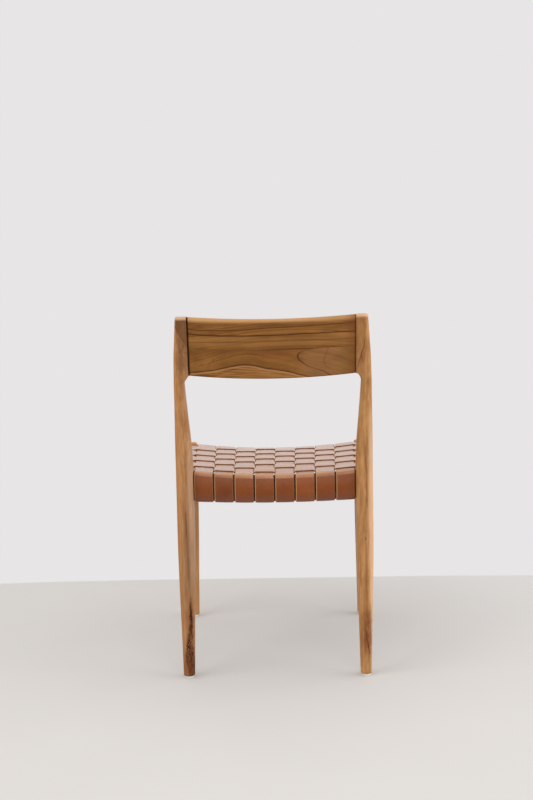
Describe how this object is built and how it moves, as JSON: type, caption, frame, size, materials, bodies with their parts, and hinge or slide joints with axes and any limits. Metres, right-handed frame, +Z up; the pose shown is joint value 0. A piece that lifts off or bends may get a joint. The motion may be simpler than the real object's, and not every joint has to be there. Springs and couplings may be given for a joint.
{
  "type": "woven seat dining chair",
  "caption": "Teak dining chair with a curved back board, tapering legs and a seat woven from brown leather straps.",
  "frame": {"origin": "on the floor, at the middle of the chair's width and of its whole depth", "axes": "+X towards the sitter's left, +Y from the front of the seat to the back board, +Z up"},
  "size_m": [0.484, 0.5762, 0.8],
  "materials": {
    "teak_legs": "oiled teak, honey brown with darker veins, satin",
    "teak_board": "oiled teak, darker golden brown, satin",
    "teak_rails": "oiled teak, matte",
    "leather_straps": "thick vegetable tanned leather, cognac brown, soft sheen",
    "beech_dowels": "plain beech, raw",
    "nylon_glides": "off-white moulded nylon",
    "steel_nails": "bright zinc plated steel"
  },
  "bodies": {
    "root": {"rear_leg_left": "teak_legs", "front_leg_left": "teak_legs", "rear_leg_right": "teak_legs", "front_leg_right": "teak_legs", "rear_seat_rail": "teak_rails", "front_seat_rail": "teak_rails", "side_seat_rail_left": "teak_rails", "side_seat_rail_right": "teak_rails", "back_plank_lower": "teak_board", "back_plank_upper": "teak_board", "back_dowel_lower_left": "beech_dowels", "back_dowel_lower_right": "beech_dowels", "back_dowel_upper_left": "beech_dowels", "back_dowel_upper_right": "beech_dowels", "foot_glide_rear_left": "nylon_glides", "glide_nail_rear_left": "steel_nails", "foot_glide_rear_right": "nylon_glides", "glide_nail_rear_right": "steel_nails", "foot_glide_front_left": "nylon_glides", "glide_nail_front_left": "steel_nails", "foot_glide_front_right": "nylon_glides", "glide_nail_front_right": "steel_nails", "long_strap_1": "leather_straps", "long_strap_2": "leather_straps", "long_strap_3": "leather_straps", "long_strap_4": "leather_straps", "long_strap_5": "leather_straps", "long_strap_6": "leather_straps", "long_strap_7": "leather_straps", "long_strap_8": "leather_straps", "cross_strap_1": "leather_straps", "cross_strap_2": "leather_straps", "cross_strap_3": "leather_straps", "cross_strap_4": "leather_straps", "cross_strap_5": "leather_straps", "cross_strap_6": "leather_straps", "cross_strap_7": "leather_straps", "cross_strap_8": "leather_straps", "cross_strap_9": "leather_straps"}
  },
  "joints": []
}
